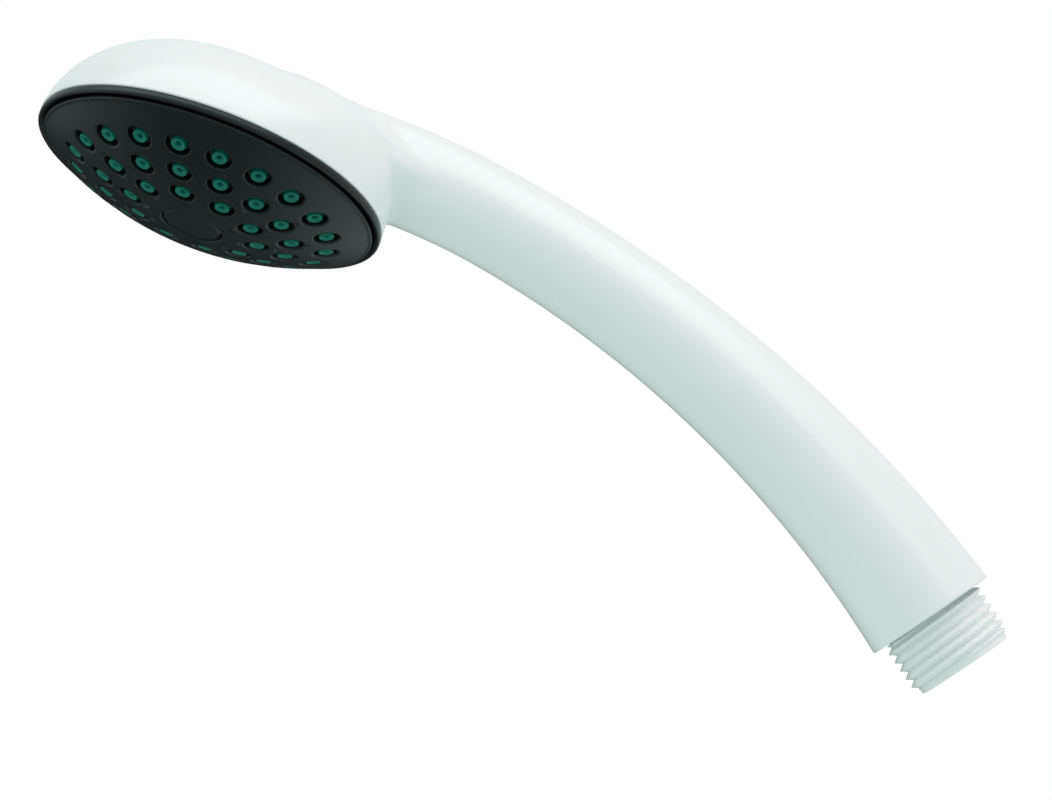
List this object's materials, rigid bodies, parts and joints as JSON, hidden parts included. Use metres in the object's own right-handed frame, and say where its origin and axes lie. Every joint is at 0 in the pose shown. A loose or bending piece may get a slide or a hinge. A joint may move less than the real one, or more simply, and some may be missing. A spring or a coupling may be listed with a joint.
{
  "type": "handheld shower head",
  "caption": "Handheld shower head with a domed single-spray face of rubber nozzles, a bowed tapering handle and a G 1/2 threaded hose inlet.",
  "frame": {"origin": "centre of the hose inlet's end face, on the thread's axis", "axes": "+Z from the inlet up the lower handle, -Y the side that sprays, +X the handset's left-hand side seen from the spray side; x = 0 is the mirror plane"},
  "size_m": [0.0664, 0.1009, 0.1804],
  "materials": {
    "white_plastic": "glossy white moulded plastic",
    "inner_white_plastic": "plain white moulded plastic",
    "black_plastic": "satin black moulded plastic",
    "teal_elastomer": "soft teal elastomer",
    "grey_plastic": "plain grey acetal",
    "black_rubber": "matt black sealing rubber",
    "steel": "plain stainless steel"
  },
  "bodies": {
    "handset": {"body_shell": "white_plastic", "inlet_nipple": "white_plastic", "face_plate": "black_plastic", "bezel_ring": "black_plastic", "centre_cap": "black_plastic", "nozzle_mat": "teal_elastomer", "chamber_plate": "inner_white_plastic", "centre_screw": "steel", "centre_screw_washer": "steel", "chamber_o_ring": "black_rubber", "tube_o_ring_head": "black_rubber", "tube_o_ring_inlet": "black_rubber", "nipple_o_ring": "black_rubber", "waterway_tube": "grey_plastic", "inlet_filter": "steel", "flow_regulator_body": "grey_plastic", "flow_regulator_o_ring": "black_rubber", "check_valve_housing": "grey_plastic", "check_valve_guide": "grey_plastic", "check_valve_spring": "steel"},
    "valve_poppet": {"check_valve_poppet": "grey_plastic", "check_valve_seal": "black_rubber"}
  },
  "joints": [
    {"name": "check_valve_lift", "type": "slide", "parent": "handset", "child": "valve_poppet", "axis": [0, 0, 1], "range_m": [0, 0.0018], "stiffness_N_per_m": 60, "springref_m": -0.002, "deforming": ["check_valve_spring"]}
  ]
}
